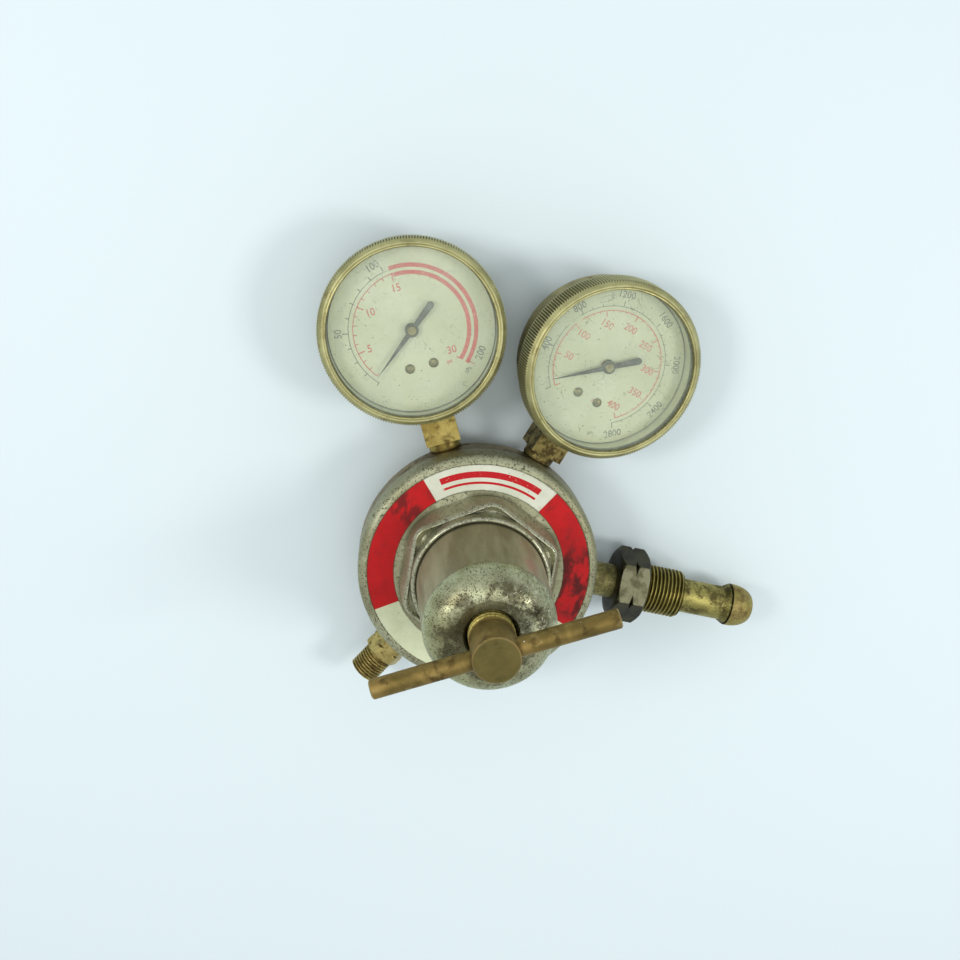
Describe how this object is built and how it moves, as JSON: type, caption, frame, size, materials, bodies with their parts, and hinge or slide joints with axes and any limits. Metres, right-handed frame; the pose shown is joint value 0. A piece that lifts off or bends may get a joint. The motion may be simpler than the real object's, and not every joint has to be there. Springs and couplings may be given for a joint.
{
  "type": "gas pressure regulator with gauges",
  "caption": "Gas cylinder pressure regulator with a bell-shaped spring case, T-handle adjusting screw, dial gauges, left-hand inlet nut and hose outlet",
  "frame": {"origin": "centre of the flat rear face of the body", "axes": "+Z along the bonnet and adjusting screw, away from the rear face; +X along the inlet nipple, away from the body"},
  "size_m": [0.2281, 0.2125, 0.1373],
  "materials": {
    "body_brass": "worn satin",
    "fitting_brass": "machined, aged",
    "dark_brass": "dark patina",
    "spring_steel": "satin",
    "diaphragm_rubber": "matte",
    "case_copper": "worn satin plating",
    "nickel_plate": "worn satin plating",
    "label_red": "printed, scuffed",
    "bronze": "aged bronze brown",
    "gauge_brass": "satin",
    "case_brass": "aged",
    "bezel_brass": "aged, knurled",
    "window_glass": "clear",
    "gasket_rubber": "matte",
    "dial_face": "matte, aged",
    "pointer_black": "matte"
  },
  "bodies": {
    "regulator": {"regulator_body": "body_brass", "nozzle": "fitting_brass", "valve_spring": "spring_steel", "diaphragm": "diaphragm_rubber", "slip_ring": "spring_steel", "range_spring": "spring_steel", "spring_case": "case_copper", "bonnet_ring": "nickel_plate", "label_ring": "label_red", "inlet_nipple": "fitting_brass", "inlet_filter": "fitting_brass", "outlet_fitting": "fitting_brass", "delivery_gauge_socket": "gauge_brass", "delivery_gauge_case": "case_brass", "delivery_gauge_bezel": "bezel_brass", "delivery_gauge_window": "window_glass", "delivery_gauge_gasket": "gasket_rubber", "delivery_gauge_dial": "dial_face", "delivery_gauge_dial_screws": "gauge_brass", "delivery_gauge_bourdon_tube": "gauge_brass", "delivery_gauge_tube_tip": "gauge_brass", "delivery_gauge_movement_frame": "gauge_brass", "supply_gauge_socket": "gauge_brass", "supply_gauge_case": "case_brass", "supply_gauge_bezel": "bezel_brass", "supply_gauge_window": "window_glass", "supply_gauge_gasket": "gasket_rubber", "supply_gauge_dial": "dial_face", "supply_gauge_dial_screws": "gauge_brass", "supply_gauge_bourdon_tube": "gauge_brass", "supply_gauge_tube_tip": "gauge_brass", "supply_gauge_movement_frame": "gauge_brass"},
    "spring_button": {"spring_button": "spring_steel"},
    "t_handle": {"adjusting_screw": "bronze", "t_bar": "bronze"},
    "diaphragm_plate": {"diaphragm_plate": "spring_steel"},
    "valve": {"valve_stem": "fitting_brass"},
    "inlet_nut": {"inlet_nut": "dark_brass"},
    "delivery_gauge_pointer": {"delivery_gauge_pointer": "pointer_black", "delivery_gauge_pointer_bush": "gauge_brass", "delivery_gauge_pinion_arbor": "gauge_brass"},
    "delivery_gauge_sector": {"delivery_gauge_sector_gear": "gauge_brass"},
    "delivery_gauge_link": {"delivery_gauge_drag_link": "gauge_brass"},
    "supply_gauge_pointer": {"supply_gauge_pointer": "pointer_black", "supply_gauge_pointer_bush": "gauge_brass", "supply_gauge_pinion_arbor": "gauge_brass"},
    "supply_gauge_sector": {"supply_gauge_sector_gear": "gauge_brass"},
    "supply_gauge_link": {"supply_gauge_drag_link": "gauge_brass"}
  },
  "joints": [
    {"name": "button_slide", "type": "slide", "parent": "regulator", "child": "spring_button", "axis": [0, 0, -1], "range_m": [-0.0052, 0.0116], "deforming": ["range_spring"]},
    {"name": "screw_turn", "type": "hinge", "parent": "spring_button", "child": "t_handle", "pos_m": [0, 0, 0.1], "axis": [0, 0, -1], "range_deg": [-720, 1620]},
    {"name": "diaphragm_travel", "type": "slide", "parent": "regulator", "child": "diaphragm_plate", "axis": [0, 0, -1], "range_m": [0, 0.0008], "stiffness_N_per_m": 20000, "deforming": ["diaphragm"]},
    {"name": "valve_travel", "type": "slide", "parent": "regulator", "child": "valve", "axis": [0, 0, -1], "range_m": [0, 0.0008], "deforming": ["valve_spring"]},
    {"name": "nut_swivel", "type": "hinge", "parent": "regulator", "child": "inlet_nut", "pos_m": [0.08, 0, 0.0186], "axis": [1, 0, 0], "continuous": true},
    {"name": "delivery_gauge_sector_turn", "type": "hinge", "parent": "regulator", "child": "delivery_gauge_sector", "pos_m": [-0.0431, 0.08105, 0.0198], "axis": [0, 0, 1], "range_deg": [0, 38.14], "stiffness_Nm_per_rad": 0.02},
    {"name": "delivery_gauge_pointer_turn", "type": "hinge", "parent": "regulator", "child": "delivery_gauge_pointer", "pos_m": [-0.05211, 0.09801, 0.0198], "axis": [0, 0, -1], "range_deg": [0, 267]},
    {"name": "delivery_gauge_link_turn", "type": "hinge", "parent": "delivery_gauge_sector", "child": "delivery_gauge_link", "pos_m": [-0.03568, 0.07806, 0.0232], "axis": [0, 0, -1], "range_deg": [0, 38.14]},
    {"name": "supply_gauge_sector_turn", "type": "hinge", "parent": "regulator", "child": "supply_gauge_sector", "pos_m": [0.02728, 0.08346, 0.0193], "axis": [0.1889, -0.0617, 0.9801], "range_deg": [0, 38.29], "stiffness_Nm_per_rad": 0.02},
    {"name": "supply_gauge_pointer_turn", "type": "hinge", "parent": "regulator", "child": "supply_gauge_pointer", "pos_m": [0.03324, 0.10171, 0.0193], "axis": [-0.1889, 0.0617, -0.9801], "range_deg": [0, 268]},
    {"name": "supply_gauge_link_turn", "type": "hinge", "parent": "supply_gauge_sector", "child": "supply_gauge_link", "pos_m": [0.03081, 0.07585, 0.02161], "axis": [-0.1889, 0.0617, -0.9801], "range_deg": [0, 38.29]}
  ],
  "couplings": [
    {"joint": "button_slide", "follows": "screw_turn", "m_per_rad": 0.00040425},
    {"joint": "valve_travel", "follows": "diaphragm_travel", "ratio": 1},
    {"joint": "delivery_gauge_pointer_turn", "follows": "delivery_gauge_sector_turn", "ratio": 7},
    {"joint": "delivery_gauge_link_turn", "follows": "delivery_gauge_sector_turn", "ratio": 1},
    {"joint": "supply_gauge_pointer_turn", "follows": "supply_gauge_sector_turn", "ratio": 7},
    {"joint": "supply_gauge_link_turn", "follows": "supply_gauge_sector_turn", "ratio": 1}
  ]
}
